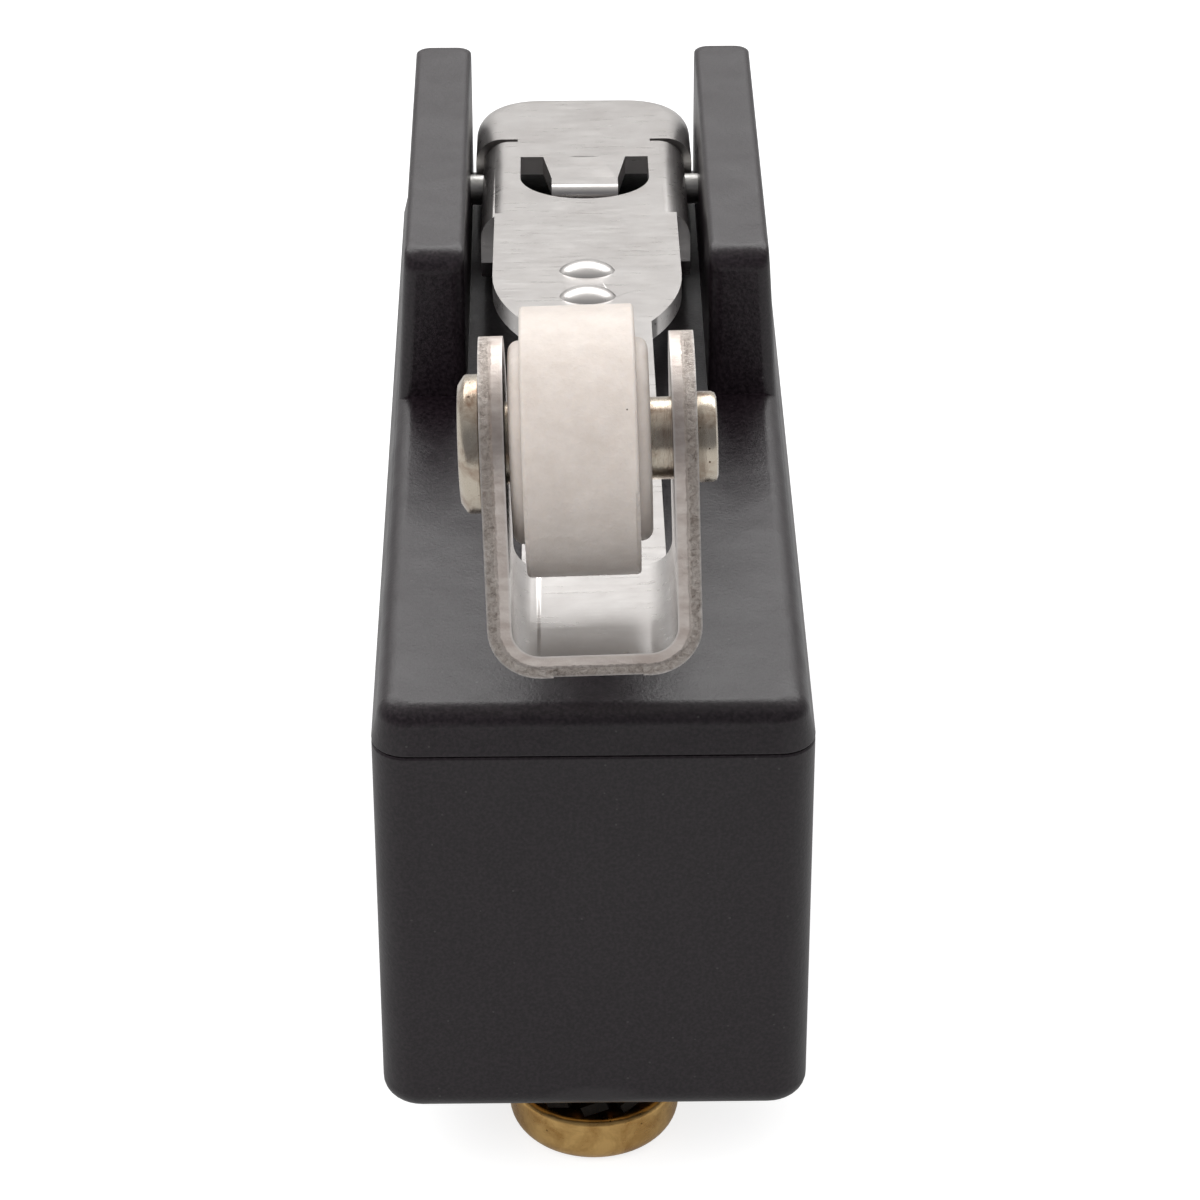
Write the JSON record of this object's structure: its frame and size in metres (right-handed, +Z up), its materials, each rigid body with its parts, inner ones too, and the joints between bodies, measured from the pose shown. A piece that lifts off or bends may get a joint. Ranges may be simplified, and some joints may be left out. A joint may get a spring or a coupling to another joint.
{
  "type": "lever micro switch",
  "caption": "Snap-action limit switch in a black moulded case, worked by a long hinged steel lever with a nylon roller at its end, with screw terminals underneath.",
  "frame": {"origin": "middle of the line between the two mounting holes, on the middle plane of the case", "axes": "+X across the width along the mounting holes, +Y along the case towards the lever's hinge, +Z up from the terminals to the lever"},
  "size_m": [0.0174, 0.0623, 0.0455],
  "materials": {
    "phenolic": "black phenolic moulding, satin, faintly speckled",
    "lever_steel": "satin stainless sheet with sheared edges",
    "plated_steel": "zinc plated, dull bright",
    "axle_nickel": "nickel plated with a warm tint",
    "nylon": "warm white nylon, slightly translucent",
    "terminal_brass": "stamped brass strip",
    "screw_brass": "turned brass",
    "contact_silver": "silver alloy contact",
    "blade_bronze": "rolled beryllium copper spring strip"
  },
  "bodies": {
    "housing": {"case": "phenolic", "cover": "phenolic", "hinge_pin_left": "plated_steel", "hinge_pin_right": "plated_steel", "blade_anchor": "plated_steel", "anchor_rivet": "plated_steel", "com_terminal": "terminal_brass", "nc_terminal": "terminal_brass", "no_terminal": "terminal_brass", "nc_contact": "contact_silver", "no_contact": "contact_silver", "com_screw": "screw_brass", "nc_screw": "screw_brass", "no_screw": "screw_brass", "com_washer": "plated_steel", "nc_washer": "plated_steel", "no_washer": "plated_steel", "cover_screw_near": "plated_steel", "cover_screw_far": "plated_steel"},
    "lever": {"lever": "lever_steel", "roller_axle": "axle_nickel"},
    "roller": {"roller": "nylon"},
    "plunger": {"plunger": "phenolic"},
    "blade": {"snap_blade": "blade_bronze", "moving_contact": "contact_silver"}
  },
  "joints": [
    {"name": "lever_hinge", "type": "hinge", "parent": "housing", "child": "lever", "pos_m": [0, 0.0167, 0.01765], "axis": [1, 0, 0], "range_deg": [0, 11], "stiffness_Nm_per_rad": 0.02, "springref_deg": -20.05},
    {"name": "roller_spin", "type": "hinge", "parent": "lever", "child": "roller", "pos_m": [-0.00019, -0.03242, 0.03175], "axis": [0.9997, 0.003, 0.026], "continuous": true},
    {"name": "plunger_slide", "type": "slide", "parent": "housing", "child": "plunger", "axis": [0, 0, -1], "range_m": [0, 0.0009]},
    {"name": "blade_tilt", "type": "hinge", "parent": "housing", "child": "blade", "pos_m": [0, 0.0192, 0.00685], "axis": [1, 0, 0], "range_deg": [0, 0.85]}
  ],
  "couplings": [
    {"joint": "plunger_slide", "follows": "lever_hinge", "m_per_rad": 0.004677},
    {"joint": "blade_tilt", "follows": "lever_hinge", "ratio": 0.0727}
  ]
}
